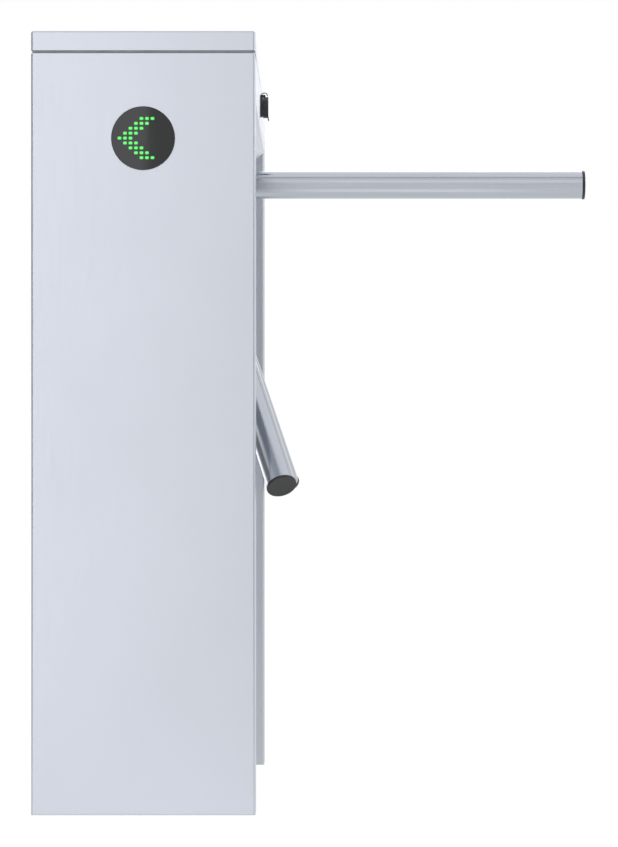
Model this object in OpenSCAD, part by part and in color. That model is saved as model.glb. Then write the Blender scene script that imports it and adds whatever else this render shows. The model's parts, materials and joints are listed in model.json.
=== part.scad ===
// A tripod turnstile: a folded sheet housing bridged between two legs, and a
// hub on a leaning axis that carries three arms past the cabinet's side.
// X runs across the lane, Y along the cabinet and Z up, all in millimetres.
// The origin is on the floor, in the middle of the four anchor holes.

/* [Cabinet] */
// Width of the cabinet across the lane
cab_w = 286; // [276:1:310]
// Length of the cabinet from end face to end face
cab_l = 816; // [812:1:900]
// Height of the cabinet to the top of the lid
cab_h = 1000; // [990:1:1040]
// Depth of each leg along the cabinet
leg_d = 66; // [50:1:68]
// Thickness of the folded steel sheet
sheet = 1.5; // [1:0.1:2]
// Outside radius of the bends
bend_r = 3; // [2.5:0.5:5]
// Height of the lid's skirt
lid_h = 25; // [18:1:32]
// Thickness of the rubber seal under the lid
seal_t = 2; // [1:0.5:4]
// Width of the flange that the seal lies on
flange_w = 10; // [8:1:12]

/* [Housing] */
// Height of the side wall's lower edge above the raised arm
eave_rise = 76; // [72:1:80]
// Depth of the underside below the raised arm
belly_drop = 73; // [70:1:90]
// Distance between the two inner ribs
rib_gap = 216; // [214:1:260]
// Thickness of the inner ribs
rib_t = 3; // [2:0.5:4]

/* [Tripod] */
// Depth of the raised arm's centre line below the lid's top
arm_drop = 164; // [150:1:180]
// Distance from the cabinet's side in to where the arms' lines meet
hub_inset = 106; // [103:1:110]
// Length from that meeting point to the arm's end
arm_reach = 557; // [480:1:558]
// Outside diameter of the arm tube
arm_d = 38; // [32:1:40]
// Wall of the arm tube
arm_wall = 2; // [1.5:0.5:3]
// Radius of the hub's rim
hub_r = 66; // [64:1:70]
// Depth that each arm enters its socket
socket_l = 36; // [30:1:38]
// Wall of the arm sockets
socket_wall = 5; // [3:0.5:6]

/* [Mechanism] */
// Thickness of the plate that carries the hub
plate_t = 8; // [6:1:10]
// Thickness of the inner bridge plate
bridge_t = 6; // [5:1:8]
// Free height between the two plates
stack_h = 68; // [68:1:76]
// Diameter of the main shaft
shaft_d = 25; // [22:1:26]
// Radius of the index cam at its valleys
cam_valley_r = 34; // [30:1:35]
// Height of the index cam's three lobes
cam_lift = 12; // [8:1:12]
// Radius of the lock disc
lock_r = 48; // [46:1:49]
// Teeth of the gear that drives the damper
gear_teeth = 48; // [42:2:50]
// Teeth of the damper's pinion
pinion_teeth = 16; // [14:2:20]
// Module of both gears
gear_mod = 1.5; // [1.25:0.25:1.5]

/* [Indicator] */
// Radius of the dark lens
lens_r = 40.7; // [38:0.1:44]
// Depth of the lens's centre below the lid's top
lens_drop = 137; // [120:1:160]
// Step between the lamps across
lamp_dx = 7; // [6.5:0.1:7]
// Step between the lamps up and down
lamp_dz = 6.25; // [5.8:0.05:6.5]

/* [Lid lock] */
// Radius of the lock's weather cap
lock_cap_r = 14.6; // [13:0.1:16]
// How far the cap stands out from the side
lock_out = 11; // [9:0.5:13]
// Depth of the lock's centre below the lid's top
lock_drop = 56; // [54:1:60]

/* [Anchors] */
// Distance between the anchor holes across the cabinet
anchor_dx = 180; // [120:5:220]
// Diameter of the anchor holes
anchor_d = 14; // [10:1:16]
// Thickness of the foot plates
foot_t = 5; // [4:1:8]

/* [Hidden] */
$fn = 48;

steel = "#c8ccd8";
bright_steel = "#aeb6c0";
cast_grey = "#8d939c";
black_plastic = "#26282b";
smoked = "#3c3e42";
lamp_green = "#5df06a";
zinc = "#b7babd";
brass = "#c2a25a";
board_green = "#1f6b45";

// Clearances
run_gap = 0.05;
seat_gap = 0.1;
part_gap = 0.3;
eps = 0.5;

// Cabinet levels and faces
side_x = cab_w / 2;
end_y = cab_l / 2;
span = cab_l - 2 * leg_d;
leg_y = end_y - leg_d / 2;
lid_z = cab_h - lid_h;
body_top = lid_z - seal_t;
arm_h = cab_h - arm_drop;
lens_h = cab_h - lens_drop;
lock_h = cab_h - lock_drop;
eave_h = arm_h + eave_rise;
belly_h = arm_h - belly_drop;
belly_x = side_x - (eave_h - belly_h);

// The hub's axis leans by this angle, and the arms stand off it by the same
tilt = 45;
hub_x = side_x - hub_inset;
face_z = (hub_inset - eave_rise) * cos(tilt);
plate_z = face_z - sheet;
stack_z = plate_z - plate_t;
bridge_z = stack_z - stack_h;
hub_z = face_z + 4;
arm_r = arm_d / 2;
socket_floor = (hub_z + 3 + arm_r * sin(tilt)) / cos(tilt);
socket_end = socket_floor + socket_l;
nose_z = hub_z + 46;
nose_r = 32;
shaft_r = shaft_d / 2;
tail_r = shaft_r - 2.5;
arm_cap_t = 3.5;
arm_cap_r = arm_r + 0.8;

// Levels of the pieces on the shaft, from the plate inwards
lock_z = stack_z - 18;
lock_t = 8;
cam_z = lock_z - 14;
cam_t = 8;
gear_z = cam_z - 12;
gear_t = 7;
slot_z = gear_z - 8;
slot_t = 2;
slot_r = 40;

plate_up = 118;
plate_down = 74;
plate_w = rib_gap;
bridge_up = 94;
bridge_down = 72;
bridge_w = rib_gap - 20;
pillar_r = 6;
pillar_spots = [[-86, -90], [-86, 90], [66, -62], [66, 62]];

front_bearing_r = shaft_r + 13.5;
front_bearing_w = 15;
rear_bearing_r = tail_r + 11;
rear_bearing_w = 12;
bearing_wall = 5;
bearing_rim = 16;
bearing_rim_t = 8;
bearing_lip = 3;
bearing_cut = plate_t + 4 * bearing_rim_t;

gear_r = gear_teeth * gear_mod / 2;
pinion_r = pinion_teeth * gear_mod / 2;
damper_x = gear_r + pinion_r;

roller_r = 9;
roller_w = cam_t;
lever_t = 3.5;
lever_swing = 12;
lever_pin = [-58, 52];
lever_roller = lifted([-(cam_valley_r + cam_lift + roller_r + part_gap), 0]);
lever_tail = lifted([-64, -34]);
post_r = 5;

pawl_arm = 40;
pawl_swing = 17;
notch_w = 16;
notch_d = 9;
pawl_tip_w = 10;
pawl_bar_r = lock_r + 4;
pawl_bar_w = 7;
pawl_eye_r = 10;
pawl_back_r = lock_r + 2 + (pawl_bar_r + pawl_bar_w - lock_r - 2 + pawl_arm * sin(pawl_swing)) / cos(pawl_swing);
solenoid_r = pawl_back_r + 4.5;

lens_t = 3;
lens_proud = 1.5;
window_r = lens_r - 2.6;
lamp_size = [4.8, 1.6, 4.4];
lamp_rows = 4;

lock_r_hole = 9.5;
lock_flange_t = 3.5;
cap_pin_up = lock_cap_r + 1.4;
cap_pin_out = lock_out / 2;
cap_pin_r = 0.7;
bail_r = cap_pin_out - 1.2;
cam_plane_x = side_x - 19;
catch_x = cam_plane_x - 4;

hinge_r = 3.5;
hinge_pin_r = 1.5;
hinge_l = 90;
hinge_y = 220;
hinge_x = -side_x - hinge_r;
hinge_z = body_top + seal_t / 2;
leaf_t = 1.5;
leaf_h = 20;

knuckles = 5;
knuckle_l = hinge_l / knuckles;

// Each bay lies between a rib and the housing's end, and its middle is at bay_y
bay_y = (rib_gap / 2 + rib_t + span / 2) / 2;
board_l = 140;
board_h = 100;
board_low = 40;
board_off = 10;
board_t = 1.6;
supply_l = 120;
supply_h = 84;
supply_d = 38;
supply_low = 50;

cover_w = 184;
cover_h = 144;
cover_low = 18;
cover_lap = 12;
cover_screw = 8;
cover_screw_r = 2.2;

// Small helpers
// The lever is drawn swung out by its whole travel, so its points turn with it
function lifted(p) = let (d = p - lever_pin, a = -lever_swing)
    lever_pin + [d[0] * cos(a) - d[1] * sin(a), d[0] * sin(a) + d[1] * cos(a)];

module steel_box(lo, hi) {
    translate(lo) cube(hi - lo);
}

module rounded_rect(w, d, r) {
    square([w - 2 * r, d], center = true);
    square([w, d - 2 * r], center = true);
    for (x = [-1, 1], y = [-1, 1])
        translate([x * (w / 2 - r), y * (d / 2 - r)]) circle(r);
}

// A tall box with rounded upright and top edges and an open flat bottom
module soft_top_box(w, l, h, r) {
    linear_extrude(h - r) rounded_rect(w, l, r);
    translate([0, 0, h - r]) {
        linear_extrude(r) square([w - 2 * r, l - 2 * r], center = true);
        for (x = [-1, 1]) translate([x * (w / 2 - r), 0, 0])
            rotate([90, 0, 0]) cylinder(r = r, h = l - 2 * r, center = true);
        for (y = [-1, 1]) translate([0, y * (l / 2 - r), 0])
            rotate([0, 90, 0]) cylinder(r = r, h = w - 2 * r, center = true);
        for (x = [-1, 1], y = [-1, 1])
            translate([x * (w / 2 - r), y * (l / 2 - r), 0]) sphere(r);
    }
}

module ring(r_out, r_in, z0, z1) {
    translate([0, 0, z0]) difference() {
        cylinder(r = r_out, h = z1 - z0);
        translate([0, 0, -eps]) cylinder(r = r_in, h = z1 - z0 + 2 * eps);
    }
}

// Local Z runs out along the hub's axis, and local -X runs up the slanted face
module on_axis() {
    translate([hub_x, 0, arm_h]) rotate([0, 90 + tilt, 0]) children();
}

// Local Z runs out along one arm: 0 is the raised arm, 1 the front, 2 the rear
module along_arm(k) {
    on_axis() rotate([0, 0, 120 * k]) rotate([0, -tilt, 0]) children();
}

// Places a child on the end wall of a leg, its local Z pointing outwards
module on_end(end) {
    translate([0, end * end_y, lens_h])
        rotate([90, 0, end < 0 ? 0 : 180]) children();
}

// Legs
module leg(end) {
    color(steel) difference() {
        translate([0, end * leg_y, 0]) difference() {
            soft_top_box(cab_w, leg_d, body_top, bend_r);
            translate([0, 0, -eps])
                soft_top_box(cab_w - 2 * sheet, leg_d - 2 * sheet, body_top - sheet + eps, bend_r - sheet);
            linear_extrude(body_top + eps)
                square([cab_w - 2 * flange_w, leg_d - 2 * flange_w], center = true);
        }
        on_end(end) cylinder(r = window_r, h = 4 * sheet, center = true);
        translate([0, end * (end_y - leg_d), 0]) {
            steel_box([-cover_w / 2 + cover_lap, -2 * sheet, cover_low + cover_lap],
                      [cover_w / 2 - cover_lap, 2 * sheet, cover_low + cover_h - cover_lap]);
            translate([-side_x / 2, 0, arm_h]) rotate([90, 0, 0])
                cylinder(r = 15, h = 4 * sheet, center = true);
        }
    }
}

module foot(end) {
    color(zinc) translate([0, end * leg_y, 0]) difference() {
        linear_extrude(foot_t)
            rounded_rect(cab_w - 2 * sheet, leg_d - 2 * sheet, bend_r - sheet);
        for (x = [-1, 1]) translate([x * anchor_dx / 2, 0, -eps])
            cylinder(d = anchor_d, h = foot_t + 2 * eps);
    }
}

module access_cover(end) {
    color(steel) translate([0, end * (span - sheet) / 2, 0]) difference() {
        steel_box([-cover_w / 2, -sheet / 2, cover_low], [cover_w / 2, sheet / 2, cover_low + cover_h]);
        for (x = [-1, 1], z = [cover_screw, cover_h - cover_screw])
            translate([x * (cover_w / 2 - cover_screw), 0, cover_low + z])
                rotate([90, 0, 0]) cylinder(r = cover_screw_r, h = 4 * sheet, center = true);
    }
}

// The housing's section, moved in by the thickness t of what it carries
function section(t, top) = [
    [side_x - t, top],
    [side_x - t, eave_h + t * tan(tilt / 2)],
    [belly_x - t * tan(tilt / 2), belly_h + t],
    [-side_x + t, belly_h + t],
    [-side_x + t, top]
];

module along_cabinet(length) {
    rotate([90, 0, 0]) translate([0, 0, -length / 2]) linear_extrude(length) children();
}

module housing() {
    color(steel) difference() {
        along_cabinet(span) {
            difference() {
                polygon(section(0, body_top));
                polygon(section(sheet, body_top + eps));
            }
            for (s = [-1, 1]) translate([s * (side_x - flange_w / 2), body_top - sheet / 2])
                square([flange_w, sheet], center = true);
        }
        on_axis() translate([0, 0, face_z - 3 * sheet])
            cylinder(r = front_bearing_r + 7, h = 6 * sheet);
        translate([side_x, 0, lock_h]) rotate([0, 90, 0])
            cylinder(r = lock_r_hole + run_gap, h = 6 * sheet, center = true);
    }
}

module rib(end) {
    margin = 26;
    color(steel) translate([0, end * (rib_gap + rib_t) / 2, 0]) difference() {
        along_cabinet(rib_t) difference() {
            polygon(section(sheet, body_top - sheet));
            translate([catch_x - 6, body_top - 30]) square([40, 40]);
        }
        along_cabinet(rib_t + 2 * eps) difference() {
            polygon(section(sheet + margin, body_top - sheet - margin));
            translate([catch_x - 6 - margin, body_top - 30 - margin]) square([80, 80]);
        }
    }
}

module lid_seal() {
    inset = 2;
    color(black_plastic) translate([0, 0, body_top]) linear_extrude(seal_t) difference() {
        rounded_rect(cab_w - 2 * inset, cab_l - 2 * inset, bend_r - 1);
        square([cab_w - 2 * flange_w + 4, cab_l - 2 * flange_w + 4], center = true);
    }
}

module lid() {
    color(steel) translate([0, 0, lid_z]) difference() {
        soft_top_box(cab_w, cab_l, lid_h, bend_r);
        translate([0, 0, -eps])
            soft_top_box(cab_w - 2 * sheet, cab_l - 2 * sheet, lid_h - sheet + eps, bend_r - sheet);
    }
}

// A bracket under the lid whose foot the lock's tongue turns over
module lid_catch() {
    near = 12;
    far = 26;
    top = cab_h - sheet;
    foot = lock_h - 9;
    color(zinc) {
        steel_box([catch_x - 14, near, top - 2], [catch_x, far, top]);
        steel_box([catch_x - 2, near, foot], [catch_x, far, top]);
        steel_box([catch_x - 2, near, foot], [catch_x + 8, far, foot + 2]);
    }
}

// Hinges on the wall away from the lane
module hinge_knuckles(first, step) {
    for (y = [-hinge_y, hinge_y], i = [first : step : knuckles - 1])
        translate([hinge_x, y - hinge_l / 2 + i * knuckle_l + part_gap / 2, hinge_z])
            rotate([-90, 0, 0]) difference() {
                cylinder(r = hinge_r, h = knuckle_l - part_gap);
                translate([0, 0, -eps]) cylinder(r = hinge_pin_r + run_gap, h = knuckle_l + 2 * eps);
            }
}

module hinge_leaf(side, first) {
    clear = hinge_r + part_gap;
    base = side > 0 ? hinge_z + clear : hinge_z - clear - leaf_h;
    color(zinc) {
        hinge_knuckles(first, 2);
        for (y = [-hinge_y, hinge_y]) difference() {
            steel_box([-side_x - leaf_t, y - hinge_l / 2, base],
                      [-side_x, y + hinge_l / 2, base + leaf_h]);
            for (d = [-30, 0, 30]) translate([-side_x, y + d, base + leaf_h / 2])
                rotate([0, 90, 0]) cylinder(r = 2.2, h = 4 * leaf_t, center = true);
        }
        for (y = [-hinge_y, hinge_y], i = [first : 2 : knuckles - 1]) {
            low = y - hinge_l / 2 + i * knuckle_l + part_gap / 2;
            tab_low = side > 0 ? hinge_z + hinge_pin_r + 1 : base + leaf_h - 1;
            tab_top = side > 0 ? base + 1 : hinge_z - hinge_pin_r - 1;
            steel_box([-side_x - leaf_t, low, tab_low],
                      [-side_x - 0.4, low + knuckle_l - part_gap, tab_top]);
        }
    }
}

module hinge_pins() {
    color(zinc) for (y = [-hinge_y, hinge_y])
        translate([hinge_x, y - hinge_l / 2 - 1, hinge_z]) rotate([-90, 0, 0]) {
            cylinder(r = hinge_pin_r, h = hinge_l + 2);
            for (z = [-1, hinge_l + 2]) translate([0, 0, z]) cylinder(r = hinge_pin_r + 1, h = 1);
        }
}

// Lid lock, whose local Z points out of the cabinet's side
module at_lock() {
    translate([side_x, 0, lock_h]) rotate([0, 90, 0]) children();
}

module lock_barrel() {
    color(black_plastic) at_lock() difference() {
        union() {
            cylinder(r = lock_cap_r - 1, h = lock_flange_t);
            translate([0, 0, -15]) cylinder(r = lock_r_hole, h = 15 + eps);
            for (y = [-4.4, 2.9]) {
                translate([-cap_pin_up - 1.2, y, 0]) cube([4, 1.5, lock_flange_t - 0.2]);
                translate([-cap_pin_up - 1.2, y, 0]) cube([2.4, 1.5, cap_pin_out + 1.2]);
            }
            translate([-cap_pin_up, -3.5, cap_pin_out]) rotate([-90, 0, 0]) cylinder(r = cap_pin_r, h = 7);
            bail();
        }
        translate([0, 0, -15 - eps]) cylinder(r = 6 + run_gap, h = 30);
    }
}

// A wire hoop over the cap's hinge pin, footed in the barrel's flange
module bail() {
    wire = 0.6;
    translate([-cap_pin_up, 0, cap_pin_out]) rotate([90, 0, 0]) difference() {
        rotate_extrude() translate([bail_r, 0]) circle(wire, $fn = 24);
        translate([0, -2 * bail_r, -2]) cube([2 * bail_r, 4 * bail_r, 4]);
    }
    translate([-cap_pin_up, 0, cap_pin_out - bail_r]) rotate([0, 90, 0]) cylinder(r = wire, h = 4, $fn = 24);
}

module lock_nut() {
    color(zinc) at_lock() translate([0, 0, -sheet - 5]) difference() {
        cylinder(r = lock_r_hole + 5, h = 5, $fn = 6);
        translate([0, 0, -eps]) cylinder(r = lock_r_hole + seat_gap, h = 5 + 2 * eps);
    }
}

// The core turns with its tongue, which points up when the lid is free
module lock_core() {
    tongue_t = 3;
    color(zinc) at_lock() difference() {
        union() {
            translate([0, 0, -19]) cylinder(r = 6, h = 19 + lock_flange_t - 0.5);
            translate([-22, -5, -19]) cube([22, 10, tongue_t]);
            translate([0, 0, -19]) cylinder(r = 7.5, h = tongue_t);
        }
        translate([-3.5, -0.6, lock_flange_t - 5]) cube([7, 1.2, 6]);
    }
}

module lock_cap() {
    back = lock_flange_t + part_gap;
    cap_wall = 1.6;
    color(black_plastic) at_lock() difference() {
        union() {
            difference() {
                translate([0, 0, back]) cylinder(r = lock_cap_r, h = lock_out - back);
                translate([0, 0, back - eps]) cylinder(r = lock_cap_r - cap_wall, h = lock_out - back - cap_wall);
            }
            translate([lock_cap_r - 2, -5, lock_out - 1.5]) rotate([0, -12, 0]) cube([6, 10, 1.5]);
            translate([-cap_pin_up, -2.5, cap_pin_out]) rotate([-90, 0, 0]) cylinder(r = 1.5, h = 5);
            translate([-cap_pin_up, -2.5, cap_pin_out - 1.5]) cube([3, 5, 3]);
        }
        translate([-cap_pin_up, -6, cap_pin_out]) rotate([-90, 0, 0]) cylinder(r = cap_pin_r + run_gap, h = 12);
        translate([-cap_pin_up, 0, cap_pin_out]) rotate([90, 0, 0])
            ring(bail_r + 1, bail_r - 1, -1, 1);
    }
}

// Indicators
function arrow_column(row) = abs(row) - lamp_rows;

module lamps_at(size_add, depth) {
    for (row = [-lamp_rows : lamp_rows], i = [0 : 2])
        translate([(arrow_column(row) + i) * lamp_dx - 2, row * lamp_dz, 0])
            translate([-(lamp_size[0] + size_add) / 2, -(lamp_size[2] + size_add) / 2, -depth])
                cube([lamp_size[0] + size_add, lamp_size[2] + size_add, depth + lens_proud]);
}

module lens(end) {
    color(smoked) on_end(end) difference() {
        union() {
            cylinder(r = lens_r, h = lens_proud);
            translate([0, 0, -lens_t]) cylinder(r = window_r - seat_gap, h = lens_t + eps);
        }
        translate([0, 0, eps]) lamps_at(0.3, lens_t + 2 * eps);
    }
}

module lamps(end) {
    color(lamp_green) on_end(end) lamps_at(0, lens_t);
}

module lamp_board(end) {
    color(board_green) on_end(end) translate([0, 0, -lens_t - 1.6]) difference() {
        cylinder(r = window_r - 1, h = 1.6);
        for (a = [45 : 90 : 315]) rotate(a) translate([window_r - 5, 0, -eps]) cylinder(r = 1.6, h = 3);
    }
}

// Tripod head
module hub_collar() {
    color(black_plastic) on_axis() ring(hub_r - 3, front_bearing_r + 7, face_z, face_z + 3);
}

module hub() {
    color(cast_grey) difference() {
        union() {
            on_axis() rotate_extrude() polygon([
                [0, hub_z], [hub_r, hub_z], [hub_r, hub_z + 8], [hub_r - 3, hub_z + 12],
                [nose_r + 3, nose_z - 3], [nose_r, nose_z], [0, nose_z]
            ]);
            for (k = [0 : 2]) along_arm(k) translate([0, 0, 30])
                cylinder(r = arm_r + socket_wall, h = socket_end - 30);
        }
        on_axis() translate([0, 0, hub_z - 60]) cylinder(r = 2 * hub_r, h = 60);
        on_axis() translate([0, 0, hub_z - eps]) cylinder(r = shaft_r + seat_gap, h = 60);
        on_axis() translate([0, 0, nose_z - 4]) cylinder(r = nose_r - 4, h = 10);
        for (k = [0 : 2]) along_arm(k) translate([0, 0, socket_floor])
            cylinder(r = arm_r + seat_gap, h = socket_l + eps);
    }
}

module nose_cap() {
    color(bright_steel) on_axis() difference() {
        union() {
            translate([0, 0, nose_z - 4]) cylinder(r = nose_r - 4 - seat_gap, h = 6);
            translate([0, 0, nose_z + 2]) cylinder(r1 = nose_r - 4, r2 = nose_r - 9, h = 3);
        }
        translate([0, 0, nose_z - 4 - eps]) cylinder(r = shaft_r + 3, h = 4);
    }
}

module arm(k) {
    color(bright_steel) along_arm(k)
        ring(arm_r, arm_r - arm_wall, socket_floor + seat_gap, arm_reach - arm_cap_t);
}

module arm_cap(k) {
    color(black_plastic) along_arm(k) {
        translate([0, 0, arm_reach - arm_cap_t]) rotate_extrude() polygon([
            [0, 0], [arm_cap_r, 0], [arm_cap_r, arm_cap_t - 1], [arm_cap_r - 1, arm_cap_t], [0, arm_cap_t]
        ]);
        translate([0, 0, arm_reach - arm_cap_t - 18]) cylinder(r = arm_r - arm_wall - seat_gap, h = 18);
    }
}

module main_shaft() {
    color(zinc) on_axis() difference() {
        union() {
            translate([0, 0, bridge_z]) cylinder(r = shaft_r, h = nose_z - 4.5 - bridge_z);
            translate([0, 0, bridge_z - rear_bearing_w - 6]) cylinder(r = tail_r, h = rear_bearing_w + 7);
        }
        translate([0, 0, nose_z - 24]) cylinder(r = 5, h = 30);
    }
}

// Plates and bearings
module mechanism_plate() {
    color(zinc) on_axis() difference() {
        steel_box([-plate_up, -plate_w / 2, stack_z], [plate_down, plate_w / 2, plate_z]);
        translate([0, 0, stack_z - eps]) cylinder(r = front_bearing_r + bearing_wall + seat_gap, h = plate_t + 2 * eps);
        for (x = [-plate_up + 12, plate_down - 12], y = [-1, 1])
            translate([x, y * (plate_w / 2 - 10), stack_z - eps]) cylinder(r = 4.5, h = plate_t + 2 * eps);
    }
}

module bearing_housing() {
    color(cast_grey) on_axis() difference() {
        union() {
            translate([0, 0, stack_z - bearing_rim_t / 2])
                cylinder(r = front_bearing_r + bearing_wall, h = bearing_rim_t / 2 + plate_t + sheet / 3);
            translate([0, 0, stack_z - bearing_rim_t]) cylinder(r = front_bearing_r + bearing_rim, h = bearing_rim_t);
        }
        translate([0, 0, stack_z - bearing_rim_t + bearing_lip])
            cylinder(r = front_bearing_r + run_gap, h = bearing_cut);
        translate([0, 0, stack_z - bearing_rim_t - eps]) cylinder(r = shaft_r + 4, h = bearing_cut);
        for (a = [0 : 60 : 300]) rotate(a + 30)
            translate([front_bearing_r + (bearing_wall + bearing_rim) / 2, 0, stack_z - bearing_rim_t - eps])
                cylinder(r = 2.6, h = bearing_cut);
    }
}

module bearing(r_in, r_out, z, w) {
    groove = 1;
    mid = (r_in + r_out) / 2;
    color(bright_steel) on_axis() translate([0, 0, z]) rotate_extrude() polygon([
        [r_in, 0], [mid - 4, 0], [mid - 4, groove], [mid + 4, groove], [mid + 4, 0], [r_out, 0],
        [r_out, w], [mid + 4, w], [mid + 4, w - groove], [mid - 4, w - groove], [mid - 4, w], [r_in, w]
    ]);
}

module bridge_plate() {
    color(zinc) on_axis() difference() {
        union() {
            steel_box([-bridge_up, -bridge_w / 2, bridge_z - bridge_t], [bridge_down, bridge_w / 2, bridge_z]);
            translate([0, 0, bridge_z - rear_bearing_w - 2]) cylinder(r = rear_bearing_r + 5, h = rear_bearing_w + 2);
        }
        translate([0, 0, bridge_z - rear_bearing_w]) cylinder(r = rear_bearing_r + run_gap, h = 30);
        translate([0, 0, bridge_z - 40]) cylinder(r = tail_r + 3, h = 50);
        translate([damper_x, 0, bridge_z - 40]) cylinder(r = 6, h = 50);
    }
}

module pillars() {
    color(bright_steel) on_axis() for (p = pillar_spots)
        translate([p[0], p[1], bridge_z]) cylinder(r = pillar_r, h = stack_h);
}

module pivot_posts() {
    color(bright_steel) on_axis() {
        for (p = [lever_pin, pawl_pivot(-1), pawl_pivot(1)])
            translate([p[0], p[1], bridge_z]) cylinder(r = post_r, h = stack_h);
    }
}

// Discs on the shaft
module on_shaft(z, t) {
    on_axis() translate([0, 0, z]) difference() {
        linear_extrude(t) children();
        translate([0, 0, -eps]) cylinder(r = shaft_r + seat_gap, h = t + 2 * eps);
    }
}

module index_cam() {
    n = 120;
    color(cast_grey) on_shaft(cam_z, cam_t) polygon([
        for (i = [0 : n - 1]) let (a = 360 * i / n,
            r = cam_valley_r + cam_lift * (1 - cos(3 * (a - 180))) / 2)
            [r * cos(a), r * sin(a)]
    ]);
}

module lock_disc() {
    color(bright_steel) on_shaft(lock_z, lock_t) difference() {
        circle(lock_r);
        for (k = [0 : 5]) rotate(60 * k) translate([lock_r, 0])
            square([2 * notch_d, notch_w], center = true);
    }
}

// Involute gear outline
function unwind(r, rb) = let (t = sqrt(max(0, (r / rb) * (r / rb) - 1)) * 180 / PI) t - atan(t * PI / 180);
function flank(r, rp, rb, half) = half + unwind(rp, rb) - unwind(max(r, rb), rb);
function gear_outline(teeth, mod, backlash = 0.15) = let (
    rp = teeth * mod / 2, rb = rp * cos(20), rf = rp - 1.25 * mod, ra = rp + mod,
    half = 90 / teeth - backlash / rp * 90 / PI, radii = [rf, max(rb, rf + 0.2), rp, (rp + ra) / 2, ra])
    [for (i = [0 : teeth - 1]) each concat(
        [for (r = radii) let (a = 360 * i / teeth - flank(r, rp, rb, half)) [r * cos(a), r * sin(a)]],
        [for (j = [len(radii) - 1 : -1 : 0]) let (r = radii[j], a = 360 * i / teeth + flank(r, rp, rb, half))
            [r * cos(a), r * sin(a)]])];

module damper_gear() {
    color(brass) on_shaft(gear_z, gear_t) difference() {
        polygon(gear_outline(gear_teeth, gear_mod));
        for (a = [0 : 60 : 300]) rotate(a) translate([gear_r * 0.64, 0]) circle(5);
    }
}

module damper_pinion() {
    color(brass) on_axis() translate([damper_x, 0, 0]) {
        translate([0, 0, gear_z]) rotate(180 / pinion_teeth)
            linear_extrude(gear_t) polygon(gear_outline(pinion_teeth, gear_mod));
        translate([0, 0, bridge_z - bridge_t - 2]) cylinder(r = 5, h = gear_z - bridge_z + bridge_t + 3);
    }
}

module damper() {
    color(black_plastic) on_axis() translate([damper_x, 0, bridge_z - bridge_t - 34]) difference() {
        union() {
            cylinder(r = 21, h = 34);
            translate([0, 0, 30]) for (y = [-1, 1]) translate([0, y * 24, 2]) cube([16, 16, 4], center = true);
        }
        translate([0, 0, 31]) cylinder(r = 5 + part_gap, h = 10);
    }
}

module encoder_disc() {
    color(black_plastic) on_shaft(slot_z, slot_t) difference() {
        circle(slot_r);
        for (a = [0 : 15 : 345]) rotate(a) translate([slot_r - 6, 0]) square([6, 4], center = true);
    }
}

module slot_sensor() {
    color(black_plastic) on_axis() difference() {
        steel_box([-9, -slot_r - 10, bridge_z], [9, -slot_r + 7, slot_z + slot_t + 5]);
        steel_box([-12, -slot_r - 4, slot_z - 1], [12, -slot_r + 12, slot_z + slot_t + 1]);
    }
}

// Index lever: at the inner end of its travel its roller just clears the lobes
module index_lever() {
    t = lever_t;
    z = cam_z - t - 0.7;
    color(zinc) on_axis() difference() {
        union() {
            hull() {
                translate([lever_pin[0], lever_pin[1], z]) cylinder(r = 10, h = t, $fn = 32);
                translate([lever_roller[0], lever_roller[1], z]) cylinder(r = 8, h = t, $fn = 32);
            }
            hull() {
                translate([lever_roller[0], lever_roller[1], z]) cylinder(r = 8, h = t, $fn = 32);
                translate([lever_tail[0], lever_tail[1], z]) cylinder(r = 6, h = t, $fn = 32);
            }
            translate([lever_roller[0], lever_roller[1], z]) cylinder(r = 3.5, h = t + roller_w + 2);
        }
        translate([lever_pin[0], lever_pin[1], z - eps]) cylinder(r = post_r + run_gap, h = t + 2 * eps);
    }
}

module index_roller() {
    color(black_plastic) on_axis() translate([lever_roller[0], lever_roller[1], 0])
        ring(roller_r, 3.5 + run_gap, cam_z, cam_z + roller_w);
}

// A round wire wound round local Z
module coil(r, wire, turns, height) {
    steps = 16;
    sides = 6;
    n = steps * turns;
    points = [for (i = [0 : n], j = [0 : sides - 1])
        let (a = 360 * i / steps, b = 360 * j / sides, q = r + wire * cos(b))
        [q * cos(a), q * sin(a), height * i / n + wire * sin(b)]];
    walls = [for (i = [0 : n - 1], j = [0 : sides - 1])
        let (k = (j + 1) % sides, p = i * sides, q = p + sides)
        each [[p + j, p + k, q + k], [p + j, q + k, q + j]]];
    ends = [for (j = [1 : sides - 2]) each [[0, j + 1, j], [n * sides, n * sides + j, n * sides + j + 1]]];
    polyhedron(points, concat(walls, ends));
}

module index_spring() {
    color(zinc) on_axis() translate([lever_pin[0], lever_pin[1], cam_z - 4.2 - 15])
        coil(8, 0.9, 6, 14);
}

// Pawls lie on lines 60 degrees to each side of local X, the front one at -60
function pawl_pivot(side) = let (r = lock_r + 2)
    [r * cos(60) - pawl_arm * cos(30), side * (r * sin(60) + pawl_arm * sin(30))];

module front_of(side) {
    if (side < 0) children();
    else mirror([0, 1, 0]) children();
}

module pawl(side) {
    tip_r = lock_r - notch_d + 1.5;
    p = pawl_pivot(-1);
    color(bright_steel) on_axis() front_of(side)
        translate([p[0], p[1], lock_z]) rotate(-pawl_swing) linear_extrude(lock_t) difference() {
            union() {
                circle(pawl_eye_r);
                rotate(-60) translate([-lock_r - 2, pawl_arm]) {
                    translate([tip_r, -pawl_tip_w / 2]) square([pawl_bar_r + 1 - tip_r, pawl_tip_w]);
                    translate([pawl_bar_r, -pawl_arm]) square([pawl_bar_w, pawl_arm + pawl_tip_w / 2 + 1]);
                }
            }
            circle(post_r + run_gap);
        }
}

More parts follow.
